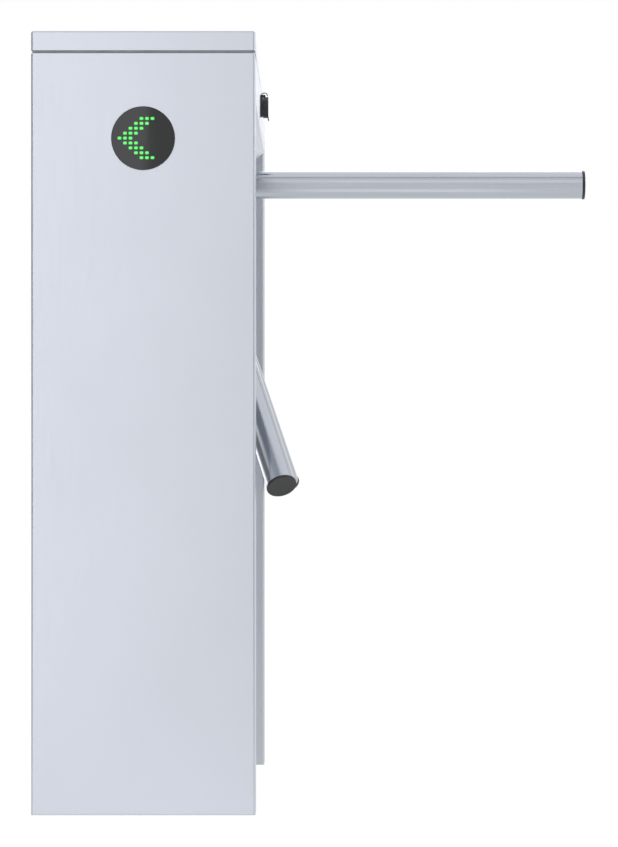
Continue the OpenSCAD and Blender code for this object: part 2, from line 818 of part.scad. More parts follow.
module solenoid(side) {
    w = 26;
    color(brass) on_axis() front_of(side) rotate(-60) translate([0, 0, lock_z + lock_t / 2]) {
        difference() {
            translate([solenoid_r, -w / 2, -12]) cube([34, w, 24]);
            translate([solenoid_r - eps, 0, 0]) rotate([0, 90, 0]) cylinder(r = 5 + part_gap, h = 30);
        }
        translate([solenoid_r + 4, -w / 2 + 2, 12]) cube([26, w - 4, stack_z - lock_z - lock_t / 2 - 12]);
    }
}

module plunger(side) {
    nose = 4;
    start = pawl_back_r + (nose + part_gap) / cos(pawl_swing);
    color(bright_steel) on_axis() front_of(side) rotate(-60)
        translate([start, 0, lock_z + lock_t / 2]) rotate([0, 90, 0]) {
            sphere(nose);
            cylinder(r = nose, h = 12);
            translate([0, 0, 8]) cylinder(r = 5, h = 12);
        }
}

// Electronics on the wall away from the lane
module control_board() {
    x = -side_x + sheet;
    y0 = bay_y - board_l / 2;
    z0 = belly_h + board_low;
    face = x + board_off + board_t;
    color(board_green) {
        for (y = [8, board_l - 8], z = [8, board_h - 8]) translate([x, y0 + y, z0 + z])
            rotate([0, 90, 0]) cylinder(r = 3.5, h = board_off);
        steel_box([x + board_off, y0, z0], [face, y0 + board_l, z0 + board_h]);
    }
    color(black_plastic) for (i = [0 : 2]) translate([face, y0 + board_l * (0.21 + 0.23 * i), z0 + board_h * 0.3])
        cube([board_h / 8, board_l * 0.16, board_h * 0.22]);
}

module power_supply() {
    x = -side_x + sheet;
    y0 = -bay_y - supply_l / 2;
    z0 = belly_h + supply_low;
    color(zinc) difference() {
        steel_box([x, y0, z0], [x + supply_d, y0 + supply_l, z0 + supply_h]);
        for (i = [0 : 9])
            steel_box([x + supply_d - 2, y0 + supply_l * (i + 1.2) / 12, z0 + supply_h / 7],
                      [x + supply_d + 2, y0 + supply_l * (i + 1.6) / 12, z0 + supply_h * 6 / 7]);
    }
}

leg(-1);  // front_leg
leg(1);  // rear_leg
foot(-1);  // front_foot
foot(1);  // rear_foot
access_cover(-1);  // front_access_cover
access_cover(1);  // rear_access_cover
housing();
rib(-1);  // front_rib
rib(1);  // rear_rib
lid_seal();
hub_collar();
lens(-1);  // front_lens
lens(1);  // rear_lens
lamps(-1);  // front_lamps
lamps(1);  // rear_lamps
lamp_board(-1);  // front_lamp_board
lamp_board(1);  // rear_lamp_board
lid();
lid_catch();
hinge_leaf(1, 1);  // hinge_lid_leaves
hinge_leaf(-1, 0);  // hinge_body_leaves
hinge_pins();
lock_barrel();
lock_nut();
lock_core();
lock_cap();
mechanism_plate();
bridge_plate();
pillars();
pivot_posts();
bearing_housing();
bearing(shaft_r + run_gap, front_bearing_r, stack_z - bearing_rim_t + bearing_lip, front_bearing_w);  // front_bearing
bearing(tail_r + run_gap, rear_bearing_r, bridge_z - rear_bearing_w, rear_bearing_w);  // rear_bearing
main_shaft();
hub();
nose_cap();
arm(0);  // top_arm
arm(1);  // front_arm
arm(2);  // rear_arm
arm_cap(0);  // top_arm_cap
arm_cap(1);  // front_arm_cap
arm_cap(2);  // rear_arm_cap
index_cam();
lock_disc();
damper_gear();
encoder_disc();
damper();
damper_pinion();
index_lever();
index_roller();
index_spring();
pawl(-1);  // front_pawl
pawl(1);  // rear_pawl
solenoid(-1);  // front_solenoid
solenoid(1);  // rear_solenoid
plunger(-1);  // front_plunger
plunger(1);  // rear_plunger
slot_sensor();
control_board();
power_supply();
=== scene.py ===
"""A tripod turnstile in satin steel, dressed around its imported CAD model."""

import json
import math

import bmesh
import bpy
from mathutils import Euler, Matrix, Vector


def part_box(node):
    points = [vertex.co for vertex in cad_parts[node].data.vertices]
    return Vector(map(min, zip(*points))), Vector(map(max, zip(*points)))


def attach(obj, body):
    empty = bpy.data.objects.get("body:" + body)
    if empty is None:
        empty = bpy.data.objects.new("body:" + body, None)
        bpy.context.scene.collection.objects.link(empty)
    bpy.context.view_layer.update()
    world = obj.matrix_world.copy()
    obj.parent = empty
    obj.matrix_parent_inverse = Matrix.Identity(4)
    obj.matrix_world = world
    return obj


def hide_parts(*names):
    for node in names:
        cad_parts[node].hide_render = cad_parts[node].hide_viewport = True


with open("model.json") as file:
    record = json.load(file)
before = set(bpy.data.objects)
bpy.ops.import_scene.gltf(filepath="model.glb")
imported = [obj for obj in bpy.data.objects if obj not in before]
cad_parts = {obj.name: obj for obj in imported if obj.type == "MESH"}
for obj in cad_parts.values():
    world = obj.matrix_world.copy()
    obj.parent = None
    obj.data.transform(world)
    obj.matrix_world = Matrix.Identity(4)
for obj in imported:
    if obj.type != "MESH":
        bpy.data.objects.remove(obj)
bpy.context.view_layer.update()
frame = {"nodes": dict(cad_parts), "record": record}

# Measures that part.scad gives, in metres
SIDE_X = 0.143
END_Y = 0.408
LEG_DEPTH = 0.066
SHEET = 0.0015
HUB_POINT = Vector((0.037, 0.0, 0.836))
TILT = math.radians(45)
HUB_Z = 0.02521
SOCKET_FLOOR = 0.0589
NOSE_Z = 0.07121
NOSE_R = 0.032
ARM_REACH = 0.557
ARM_R = 0.019
ARM_WALL = 0.002
ARM_CAP_T = 0.0035
ARM_CAP_R = 0.0198
LENS_R = 0.0407
LENS_T = 0.003
LENS_PROUD = 0.0015
LENS_Z = 0.863
LAMP_ROWS = 4
LAMP_STEP = Vector((0.007, 0.00625))
STACK_Z = 0.01171
BRIDGE_BACK = -0.06229
PILLAR_SPOTS = ((-0.086, -0.090), (-0.086, 0.090), (0.066, -0.062), (0.066, 0.062))
COVER_SCREW_X = 0.084
COVER_SCREW_HEIGHTS = (0.026, 0.154)
HINGE_Y = 0.220
LEAF_T = 0.0015

# Places on the leaning axis: local Z runs out of the slanted face
ON_AXIS = Matrix.Translation(HUB_POINT) @ Matrix.Rotation(math.pi / 2 + TILT, 4, "Y")


def along_arm(k):
    """The place of arm k, whose local Z runs out to its tip: 0 raised, 1 front, 2 rear."""
    round_axis = Matrix.Rotation(2 * math.pi / 3 * k, 4, "Z")
    return ON_AXIS @ round_axis @ Matrix.Rotation(-TILT, 4, "Y")


def facing(at, direction):
    """A place whose local Z points in a direction."""
    return Matrix.Translation(at) @ Vector(direction).to_track_quat("Z", "Y").to_matrix().to_4x4()


# Camera, at the photograph's place: the image is 618 by 847
IMAGE = (618, 847)
FOCAL_PIXELS = 3481.8
AXIS_PIXEL = (316.7, 465.9)
SENSOR = 36.0
EYE = (0.2213, -4.8458, 0.4453)

camera_data = bpy.data.cameras.new("photo_camera")
camera_data.sensor_width = SENSOR
camera_data.lens = FOCAL_PIXELS / IMAGE[1] * SENSOR
camera_data.shift_x = (IMAGE[0] / 2 - AXIS_PIXEL[0]) / IMAGE[1]
camera_data.shift_y = (AXIS_PIXEL[1] - IMAGE[1] / 2) / IMAGE[1]
camera_data.clip_end = 100
camera = bpy.data.objects.new("photo_camera", camera_data)
camera.location = EYE
camera.rotation_euler = (math.pi / 2, 0, 0)
bpy.context.scene.collection.objects.link(camera)
bpy.context.scene.camera = camera


# Node helpers
def new_finish(name, colour, metallic, roughness):
    """A material and its Principled shader, with the plain values set on the sockets."""
    material = bpy.data.materials.new(name)
    material.use_nodes = True
    shader = material.node_tree.nodes["Principled BSDF"]
    shader.inputs["Base Color"].default_value = (*colour, 1)
    shader.inputs["Metallic"].default_value = metallic
    shader.inputs["Roughness"].default_value = roughness
    return material, shader


def coordinates(tree, scale=(1, 1, 1), place=None):
    """Object coordinates, first brought into a piece's own place and then stretched."""
    out = tree.nodes.new("ShaderNodeTexCoord").outputs["Object"]
    if place is not None:
        turn = tree.nodes.new("ShaderNodeMapping")
        turn.vector_type = "TEXTURE"
        turn.inputs["Location"].default_value = place.to_translation()
        turn.inputs["Rotation"].default_value = place.to_euler("XYZ")
        tree.links.new(out, turn.inputs["Vector"])
        out = turn.outputs["Vector"]
    stretch = tree.nodes.new("ShaderNodeMapping")
    stretch.inputs["Scale"].default_value = scale
    tree.links.new(out, stretch.inputs["Vector"])
    return stretch.outputs["Vector"]


def noise(tree, vector, scale, detail=2.0, roughness=0.5):
    texture = tree.nodes.new("ShaderNodeTexNoise")
    texture.inputs["Scale"].default_value = scale
    texture.inputs["Detail"].default_value = detail
    texture.inputs["Roughness"].default_value = roughness
    tree.links.new(vector, texture.inputs["Vector"])
    return texture.outputs["Fac"]


def spread(tree, value, low, high, start=0.3, end=0.7):
    """The value between start and end, mapped to the range from low to high."""
    node = tree.nodes.new("ShaderNodeMapRange")
    for name, number in (("From Min", start), ("From Max", end), ("To Min", low), ("To Max", high)):
        node.inputs[name].default_value = number
    tree.links.new(value, node.inputs["Value"])
    return node.outputs["Result"]


def combine(tree, operation, first, second):
    """A math node's result. Each operand is a number or another node's output."""
    node = tree.nodes.new("ShaderNodeMath")
    node.operation = operation
    for socket, value in zip(node.inputs, (first, second)):
        if isinstance(value, (int, float)):
            socket.default_value = value
        else:
            tree.links.new(value, socket)
    return node.outputs[0]


def weighted(tree, first, share, second):
    """A share of the first value, with the rest from the second."""
    part = combine(tree, "MULTIPLY", first, share)
    rest = combine(tree, "MULTIPLY", second, 1 - share)
    return combine(tree, "ADD", part, rest)


def shade(colour, factor):
    return tuple(c * factor for c in colour)


def vary_colour(shader, factor, colour, dark, light, socket="Base Color", start=0.3, end=0.7):
    """Lets a colour go from a darker to a lighter shade of itself with the factor."""
    tree = shader.id_data
    node = tree.nodes.new("ShaderNodeMix")
    node.data_type = "RGBA"
    node.inputs[6].default_value = (*shade(colour, dark), 1)
    node.inputs[7].default_value = (*shade(colour, light), 1)
    tree.links.new(spread(tree, factor, 0, 1, start, end), node.inputs[0])
    tree.links.new(node.outputs[2], shader.inputs[socket])


def vary_gloss(shader, factor, low, high):
    """Lets the roughness go from low to high with the factor."""
    tree = shader.id_data
    tree.links.new(spread(tree, factor, low, high), shader.inputs["Roughness"])


def relief(shader, height, strength, distance):
    tree = shader.id_data
    node = tree.nodes.new("ShaderNodeBump")
    node.inputs["Strength"].default_value = strength
    node.inputs["Distance"].default_value = distance
    tree.links.new(height, node.inputs["Height"])
    tree.links.new(node.outputs["Normal"], shader.inputs["Normal"])


# Finishes
SHEET_COLOUR = (0.513, 0.537, 0.582)
TUBE_COLOUR = (0.44, 0.466, 0.51)
ACRYLIC_COLOUR = (0.006, 0.0068, 0.0074)
LAMINATE_COLOUR = (0.012, 0.13, 0.055)
ZINC_COLOUR = (0.47, 0.475, 0.49)
GROUND_COLOUR = (0.42, 0.43, 0.45)
BRASS_COLOUR = (0.60, 0.42, 0.17)
CASTING_COLOUR = (0.36, 0.38, 0.42)

UPRIGHT_GRAIN = (900, 900, 14)
LENGTHWISE_GRAIN = (900, 14, 900)
LINES_ALONG_TUBE = (1100, 1100, 12)
RINGS_ROUND_TUBE = (40, 40, 260)
LATHE_RINGS = 2600.0


def satin_sheet(name, grain):
    """Fine brushed stainless sheet. The grain is a stretch of the noise, long along one axis."""
    material, shader = new_finish(name, SHEET_COLOUR, 1.0, 0.4)
    tree = material.node_tree
    lines = noise(tree, coordinates(tree, grain), 1.0, 3.0, 0.6)
    cloud = noise(tree, coordinates(tree), 5.0)
    vary_colour(shader, weighted(tree, lines, 0.5, cloud), SHEET_COLOUR, 0.975, 1.025)
    vary_gloss(shader, lines, 0.36, 0.46)
    relief(shader, lines, 0.08, 0.0001)
    return material


def brushed_tube(name, place):
    """Tube polished round its axis, with fine lines along it."""
    material, shader = new_finish(name, TUBE_COLOUR, 1.0, 0.2)
    tree = material.node_tree
    lines = noise(tree, coordinates(tree, LINES_ALONG_TUBE, place), 1.0, 1.0, 0.5)
    rings = noise(tree, coordinates(tree, RINGS_ROUND_TUBE, place), 1.0, 2.0)
    vary_colour(shader, lines, TUBE_COLOUR, 0.96, 1.04)
    gloss = combine(tree, "ADD", spread(tree, lines, 0.17, 0.2), spread(tree, rings, 0.0, 0.02))
    tree.links.new(gloss, shader.inputs["Roughness"])
    relief(shader, lines, 0.03, 0.00006)
    return material


def turned_metal(name, colour, roughness):
    """Metal turned on a lathe round the leaning axis, with fine rings on its faces."""
    material, shader = new_finish(name, colour, 1.0, roughness)
    tree = material.node_tree
    split = tree.nodes.new("ShaderNodeSeparateXYZ")
    tree.links.new(coordinates(tree, (1, 1, 1), ON_AXIS), split.inputs[0])
    squares = [combine(tree, "POWER", split.outputs[i], 2.0) for i in (0, 1)]
    from_axis = combine(tree, "SQRT", combine(tree, "ADD", *squares), 0.0)
    join = tree.nodes.new("ShaderNodeCombineXYZ")
    for i, distance in enumerate((from_axis, split.outputs[2])):
        tree.links.new(combine(tree, "MULTIPLY", distance, LATHE_RINGS), join.inputs[i])
    rings = noise(tree, join.outputs[0], 1.0, 2.0)
    stains = noise(tree, coordinates(tree), 40.0, 3.0)
    vary_colour(shader, weighted(tree, rings, 0.5, stains), colour, 0.86, 1.1)
    vary_gloss(shader, rings, roughness * 0.8, roughness * 1.25)
    relief(shader, rings, 0.15, 0.0001)
    return material


def plated_metal(name, colour, roughness):
    """Zinc-plated plate, with a faint spangle and a few duller clouds."""
    material, shader = new_finish(name, colour, 1.0, roughness)
    tree = material.node_tree
    cells = tree.nodes.new("ShaderNodeTexVoronoi")
    cells.inputs["Scale"].default_value = 160.0
    tree.links.new(coordinates(tree), cells.inputs["Vector"])
    grey = tree.nodes.new("ShaderNodeRGBToBW")
    tree.links.new(cells.outputs["Color"], grey.inputs[0])
    cloud = noise(tree, coordinates(tree), 25.0, 3.0)
    spangle = weighted(tree, grey.outputs[0], 0.4, cloud)
    vary_colour(shader, spangle, colour, 0.88, 1.1, start=0.2, end=0.8)
    vary_gloss(shader, cloud, roughness * 0.85, roughness * 1.2)
    relief(shader, cloud, 0.08, 0.0002)
    return material


def cast_metal(name, colour):
    """Sand-cast aluminium under a thin satin paint."""
    material, shader = new_finish(name, colour, 0.9, 0.42)
    tree = material.node_tree
    pits = noise(tree, coordinates(tree), 1400.0, 4.0, 0.6)
    cloud = noise(tree, coordinates(tree), 30.0, 2.0)
    vary_colour(shader, cloud, colour, 0.93, 1.07)
    vary_gloss(shader, pits, 0.36, 0.5)
    relief(shader, pits, 0.25, 0.00025)
    return material


def moulded(name, colour, roughness, grain=2200.0):
    """Moulded plastic or rubber with a fine, even texture from the mould."""
    material, shader = new_finish(name, colour, 0.0, roughness)
    tree = material.node_tree
    pits = noise(tree, coordinates(tree), grain, 2.0)
    cloud = noise(tree, coordinates(tree), 60.0, 2.0)
    vary_colour(shader, cloud, colour, 0.9, 1.12)
    vary_gloss(shader, pits, roughness * 0.9, roughness * 1.1)
    relief(shader, pits, 0.2, 0.0001)
    return material


def smoked_acrylic(name):
    """Dark polished acrylic in front of the lamps."""
    material, shader = new_finish(name, ACRYLIC_COLOUR, 0.0, 0.04)
    shader.inputs["IOR"].default_value = 1.5
    tree = material.node_tree
    haze = noise(tree, coordinates(tree), 60.0, 2.0)
    vary_colour(shader, haze, ACRYLIC_COLOUR, 0.92, 1.1)
    vary_gloss(shader, haze, 0.03, 0.06)
    return material


def lit_lamp(name, colour):
    """A lit green lamp, a little uneven over its face."""
    material, shader = new_finish(name, shade(colour, 0.4), 0.0, 0.3)
    shader.inputs["Emission Strength"].default_value = 1.0
    tree = material.node_tree
    glow = noise(tree, coordinates(tree), 900.0, 1.0)
    vary_colour(shader, glow, colour, 0.93, 1.04, socket="Emission Color")
    return material


def board_laminate(name):
    """Green circuit board with darker tracks under the lacquer."""
    material, shader = new_finish(name, LAMINATE_COLOUR, 0.0, 0.3)
    tree = material.node_tree
    tracks = tree.nodes.new("ShaderNodeTexBrick")
    tracks.inputs["Scale"].default_value = 120.0
    tracks.inputs["Mortar Size"].default_value = 0.09
    for socket, factor in (("Color1", 1), ("Color2", 0.9), ("Mortar", 1.7)):
        tracks.inputs[socket].default_value = (*shade(LAMINATE_COLOUR, factor), 1)
    turn = tree.nodes.new("ShaderNodeMapping")
    turn.inputs["Rotation"].default_value = (0, math.pi / 2, 0)
    tree.links.new(coordinates(tree), turn.inputs["Vector"])
    tree.links.new(turn.outputs["Vector"], tracks.inputs["Vector"])
    tree.links.new(tracks.outputs["Color"], shader.inputs["Base Color"])
    relief(shader, tracks.outputs["Fac"], 0.2, 0.0001)
    return material


upright_sheet = satin_sheet("upright_sheet", UPRIGHT_GRAIN)
lengthwise_sheet = satin_sheet("lengthwise_sheet", LENGTHWISE_GRAIN)
black_plastic = moulded("black_plastic", (0.012, 0.0125, 0.0135), 0.42)
seal_rubber = moulded("seal_rubber", (0.32, 0.325, 0.34), 0.75, 900.0)
hub_casting = cast_metal("hub_casting", CASTING_COLOUR)
zinc_plate = plated_metal("zinc_plate", ZINC_COLOUR, 0.36)
turned_steel = turned_metal("turned_steel", GROUND_COLOUR, 0.28)
turned_brass = turned_metal("turned_brass", BRASS_COLOUR, 0.26)
dark_acrylic = smoked_acrylic("smoked_acrylic")
lamp_rim = lit_lamp("lamp_rim", (0.05, 0.62, 0.08))
lamp_heart = lit_lamp("lamp_heart", (0.17, 1.0, 0.21))
laminate = board_laminate("board_laminate")
terminal_grey = moulded("terminal_grey", (0.17, 0.18, 0.19), 0.4)
relay_cover = moulded("relay_cover", (0.02, 0.055, 0.15), 0.32)


# Making of pieces
CREASE = math.radians(32)
SHARP_EDGE = math.radians(30)
FLAT_FACE = math.radians(0.4)
ROUND = 96


def new_object(name, bm, finishes):
    """An object of the scene whose mesh comes from a finished bmesh."""
    mesh = bpy.data.meshes.new(name)
    bm.to_mesh(mesh)
    bm.free()
    for finish in finishes:
        mesh.materials.append(finish)
    made = bpy.data.objects.new(name, mesh)
    bpy.context.scene.collection.objects.link(made)
    return made


def settle(name, bm, body, finishes, replaces=()):
    """Makes the shown piece from a finished bmesh, on its body and with its finish."""
    piece = new_object(name, bm, finishes)
    piece.data.shade_smooth()
    piece.data.set_sharp_from_angle(angle=CREASE)
    even = piece.modifiers.new("even_faces", "WEIGHTED_NORMAL")
    even.keep_sharp = True
    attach(piece, body)
    if replaces:
        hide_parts(*replaces)


def copy_of_node(node):
    """The CAD node's solid, merged and with its flat faces whole."""
    bm = bmesh.new()
    bm.from_mesh(frame["nodes"][node].data)
    bmesh.ops.remove_doubles(bm, verts=bm.verts, dist=1e-6)
    bmesh.ops.dissolve_limit(bm, angle_limit=FLAT_FACE, verts=bm.verts, edges=bm.edges)
    return bm


def round_off(bm, corners, width, segments, affect="EDGES"):
    """Rounds the given edges, or vertices, over the given width."""
    bmesh.ops.bevel(
        bm, geom=corners, offset=width, offset_type="OFFSET", affect=affect,
        segments=segments, profile=0.5, material=-1, clamp_overlap=True,
    )


def break_edges(bm, width):
    """Rounds every sharp edge of the bmesh."""
    sharp = [e for e in bm.edges if e.is_manifold and e.calc_face_angle() > SHARP_EDGE]
    round_off(bm, sharp, width, 2)


def edges_of(made):
    """The edges of what a bmesh operator has just made."""
    return list({e for v in made["verts"] for e in v.link_edges})


def spun(profile, place, steps=ROUND):
    """A closed profile of (radius, height) points, spun round its local Z and put in place."""
    bm = bmesh.new()
    ring = [bm.verts.new((r, 0, z)) for r, z in profile]
    edges = [bm.edges.new((a, b)) for a, b in zip(ring, ring[1:] + ring[:1])]
    bmesh.ops.spin(
        bm, geom=ring + edges, cent=(0, 0, 0), axis=(0, 0, 1), angle=2 * math.pi,
        steps=steps, dvec=(0, 0, 0), use_merge=True, use_duplicate=False,
    )
    bmesh.ops.remove_doubles(bm, verts=bm.verts, dist=1e-7)
    bmesh.ops.recalc_face_normals(bm, faces=bm.faces)
    bmesh.ops.transform(bm, matrix=place, verts=bm.verts)
    return bm


def corner(r, z, radius, start):
    """Profile points round a quarter turn whose centre is (r, z), from a start in degrees."""
    steps = 4
    angles = [math.radians(start + 90 * i / steps) for i in range(steps + 1)]
    return [(r + radius * math.cos(a), z + radius * math.sin(a)) for a in angles]


# CAD nodes that keep their solids: slot, finish and width of the broken edges
NODE_FINISHES = {
    "front_leg": ("cabinet_steel", upright_sheet, 0),
    "rear_leg": ("cabinet_steel", upright_sheet, 0),
    "front_foot": ("zinc_plate", zinc_plate, 0.0004),
    "rear_foot": ("zinc_plate", zinc_plate, 0.0004),
    "front_access_cover": ("cabinet_steel", upright_sheet, 0.0003),
    "rear_access_cover": ("cabinet_steel", upright_sheet, 0.0003),
    "housing": ("cabinet_steel", lengthwise_sheet, 0),
    "front_rib": ("zinc_plate", zinc_plate, 0.0003),
    "rear_rib": ("zinc_plate", zinc_plate, 0.0003),
    "lid": ("cabinet_steel", lengthwise_sheet, 0),
    "lid_seal": ("rubber_seal", seal_rubber, 0.0004),
    "hub_collar": ("black_plastic", black_plastic, 0.0005),
    "lid_catch": ("zinc_plate", zinc_plate, 0.0002),
    "hinge_lid_leaves": ("zinc_plate", zinc_plate, 0.0002),
    "hinge_body_leaves": ("zinc_plate", zinc_plate, 0.0002),
    "hinge_pins": ("zinc_plate", zinc_plate, 0.0002),
    "lock_barrel": ("black_plastic", black_plastic, 0.0002),
    "lock_nut": ("zinc_plate", zinc_plate, 0.0003),
    "lock_core": ("zinc_plate", zinc_plate, 0.0002),
    "lock_cap": ("black_plastic", black_plastic, 0.0003),
    "mechanism_plate": ("zinc_plate", zinc_plate, 0.0005),
    "bridge_plate": ("zinc_plate", zinc_plate, 0.0005),
    "pillars": ("machined_steel", turned_steel, 0.0003),
    "pivot_posts": ("machined_steel", turned_steel, 0.0003),
    "bearing_housing": ("hub_cast", hub_casting, 0.0005),
    "front_bearing": ("machined_steel", turned_steel, 0.0004),
    "rear_bearing": ("machined_steel", turned_steel, 0.0004),
    "main_shaft": ("zinc_plate", turned_steel, 0.0005),
    "nose_cap": ("arm_steel", turned_steel, 0.0005),
    "index_cam": ("hub_cast", hub_casting, 0.0004),
    "lock_disc": ("machined_steel", turned_steel, 0.0004),
    "damper_gear": ("brass", turned_brass, 0.0001),
    "encoder_disc": ("black_plastic", black_plastic, 0.0001),
    "damper": ("black_plastic", black_plastic, 0.0005),
    "damper_pinion": ("brass", turned_brass, 0.0001),
    "index_lever": ("zinc_plate", zinc_plate, 0.0003),
    "index_roller": ("black_plastic", black_plastic, 0.0003),
    "index_spring": ("machined_steel", turned_steel, 0),
    "front_pawl": ("machined_steel", turned_steel, 0.0003),
    "rear_pawl": ("machined_steel", turned_steel, 0.0003),
    "front_solenoid": ("brass", turned_brass, 0.0004),
    "rear_solenoid": ("brass", turned_brass, 0.0004),
    "front_plunger": ("machined_steel", turned_steel, 0.0003),
    "rear_plunger": ("machined_steel", turned_steel, 0.0003),
    "slot_sensor": ("black_plastic", black_plastic, 0.0003),
    "front_lamp_board": ("circuit_board", laminate, 0.0001),
    "rear_lamp_board": ("circuit_board", laminate, 0.0001),
    "power_supply": ("zinc_plate", zinc_plate, 0.0004),
}
bodies = frame["record"]["behaviour"]["bodies"]
body_of_node = {node: body for body, members in bodies.items() for node in members}


def soften_node(node, finish, width):
    """Shows a CAD node's solid with its edges broken, in its finish."""
    bm = copy_of_node(node)
    if width:
        break_edges(bm, width)
    settle(node + "_finished", bm, body_of_node[node], [finish], [node])


for node, (slot, finish, width) in NODE_FINISHES.items():
    soften_node(node, finish, width)


# Tripod head
HOLLOW_EDGE = math.radians(12)
CASTING_RADIUS = 0.0045


def cast_hub():
    """The hub with the soft inner corners of a casting where its sockets grow out of the cone."""
    bm = copy_of_node("hub")
    to_axis = ON_AXIS.inverted()
    to_arms = [along_arm(k).inverted() for k in range(3)]

    def on_outside(edge):
        """Whether the edge lies off the hub's back, its nose and its sockets' bores."""
        middle = (edge.verts[0].co + edge.verts[1].co) / 2
        near_axis = to_axis @ middle
        if near_axis.z < HUB_Z + 0.001 or near_axis.xy.length < NOSE_R - 0.002:
            return False
        return all((place @ middle).xy.length > ARM_R + 0.002 for place in to_arms)

    hollows = [
        e for e in bm.edges
        if e.is_manifold and e.calc_face_angle_signed() < -HOLLOW_EDGE and on_outside(e)
    ]
    round_off(bm, hollows, CASTING_RADIUS, 5)
    break_edges(bm, 0.0006)
    settle("hub_casting", bm, "tripod", [hub_casting], ["hub"])


cast_hub()


# Arms and their caps
def tube_arm(k, name):
    place = along_arm(k)
    foot = SOCKET_FLOOR + 0.0001
    tip = ARM_REACH - ARM_CAP_T
    rim = 0.0006
    inner = ARM_R - ARM_WALL
    profile = (
        [(inner, foot), (ARM_R, foot)]
        + corner(ARM_R - rim, tip - rim, rim, 0)
        + corner(inner + rim, tip - rim, rim, 90)
    )
    steel = brushed_tube(name + "_brushed", place)
    settle(name + "_tube", spun(profile, place), "tripod", [steel], [name])


def arm_plug(k, name):
    """A moulded plug: a flange with rounded rim, a shallow dish and ribs in the tube."""
    base = ARM_REACH - ARM_CAP_T
    edge = 0.0003
    rim = 0.0011
    dish_r = ARM_CAP_R - 0.0046
    ribbed_r = ARM_R - ARM_WALL - 0.0001
    stem_r = ribbed_r - 0.001
    profile = [(0.0, base - 0.018), (stem_r - 0.001, base - 0.018), (stem_r, base - 0.017)]
    for i in range(4):
        low = base - 0.016 + 0.004 * i
        profile += [(stem_r, low), (ribbed_r, low + 0.0006)]
        profile += [(ribbed_r, low + 0.0016), (stem_r, low + 0.0022)]
    profile += [(stem_r, base), (ARM_CAP_R - edge, base), (ARM_CAP_R, base + edge)]
    profile += corner(ARM_CAP_R - rim, ARM_REACH - rim, rim, 0)
    profile += [(ARM_CAP_R - 0.004, ARM_REACH), (dish_r, ARM_REACH - edge), (0.0, ARM_REACH - edge)]
    bm = spun(profile, along_arm(k))
    settle(name + "_plug", bm, "tripod", [black_plastic], [name])


for k, name in enumerate(("top_arm", "front_arm", "rear_arm")):
    tube_arm(k, name)
    arm_plug(k, name + "_cap")


# Indicators on the end faces
ENDS = ((-1, "front"), (1, "rear"))
LAMPS_IN_ROW = 3
LAMP_SIZE = (0.0048, 0.0038, 1)
LAMP_CORNER = 0.0012
LAMP_RIM = 0.0011
LAMP_PROUD = 0.00012
ARROW_SHIFT = -0.002


def on_end(end):
    """The place of an end face's indicator, whose local Z points out of the cabinet."""
    turn = Euler((math.pi / 2, 0, 0 if end < 0 else math.pi)).to_matrix().to_4x4()
    return Matrix.Translation((0, end * END_Y, LENS_Z)) @ turn


def lens_disc(end, name):
    rim = 0.0009
    window = LENS_R - 0.0027
    profile = (
        [(0, -LENS_T), (window, -LENS_T), (window, 0), (LENS_R, 0)]
        + corner(LENS_R - rim, LENS_PROUD - rim, rim, 0)
        + [(0, LENS_PROUD)]
    )
    bm = spun(profile, on_end(end), 128)
    settle(name + "_disc", bm, "cabinet", [dark_acrylic], [name])


def lamp_arrow(end, name):
    """Three lit lamps in each of nine rows, stepping to a point on the left."""
    bm = bmesh.new()
    for row in range(-LAMP_ROWS, LAMP_ROWS + 1):
        for i in range(LAMPS_IN_ROW):
            column = abs(row) - LAMP_ROWS + i
            at = (column * LAMP_STEP.x + ARROW_SHIFT, row * LAMP_STEP.y, LENS_PROUD)
            lamp = bmesh.ops.create_grid(bm, x_segments=1, y_segments=1, size=0.5)["verts"]
            bmesh.ops.scale(bm, vec=LAMP_SIZE, verts=lamp)
            bmesh.ops.translate(bm, vec=at, verts=lamp)
    round_off(bm, bm.verts[:], LAMP_CORNER, 4, "VERTICES")
    raised = bmesh.ops.extrude_face_region(bm, geom=bm.faces[:])["geom"]
    tops = [f for f in raised if isinstance(f, bmesh.types.BMFace)]
    top_verts = list({v for f in tops for v in f.verts})
    bmesh.ops.translate(bm, vec=(0, 0, LAMP_PROUD), verts=top_verts)
    bmesh.ops.inset_individual(bm, faces=tops, thickness=LAMP_RIM, depth=0.0)
    for face in tops:
        face.material_index = 1
    bmesh.ops.recalc_face_normals(bm, faces=bm.faces)
    bmesh.ops.transform(bm, matrix=on_end(end), verts=bm.verts)
    settle(name + "_lit", bm, "cabinet", [lamp_rim, lamp_heart], [name])


for end, side in ENDS:
    lens_disc(end, side + "_lens")
    lamp_arrow(end, side + "_lamps")


# Small fasteners, most of which the CAD leaves out: each head is its radius and its height
TERMINAL_HEAD = (0.0021, 0.0008)
COVER_HEAD = (0.0042, 0.0022)
LEAF_HEAD = (0.0036, 0.0016)
BEARING_HEAD = (0.0042, 0.004)
PLATE_HEAD = (0.0075, 0.0055)
PILLAR_HEAD = (0.006, 0.0045)
GRUB_HEAD = (0.0038, 0.0012)
NOSE_HEAD = (0.0085, 0.004)


def stud(bm, place, sides, low_r, high_r, start, height):
    """A prism or cone along the place's local Z, from a start height on."""
    return bmesh.ops.create_cone(
        bm, cap_ends=True, segments=sides, radius1=low_r, radius2=high_r, depth=height,
        matrix=place @ Matrix.Translation((0, 0, start + height / 2)),
    )


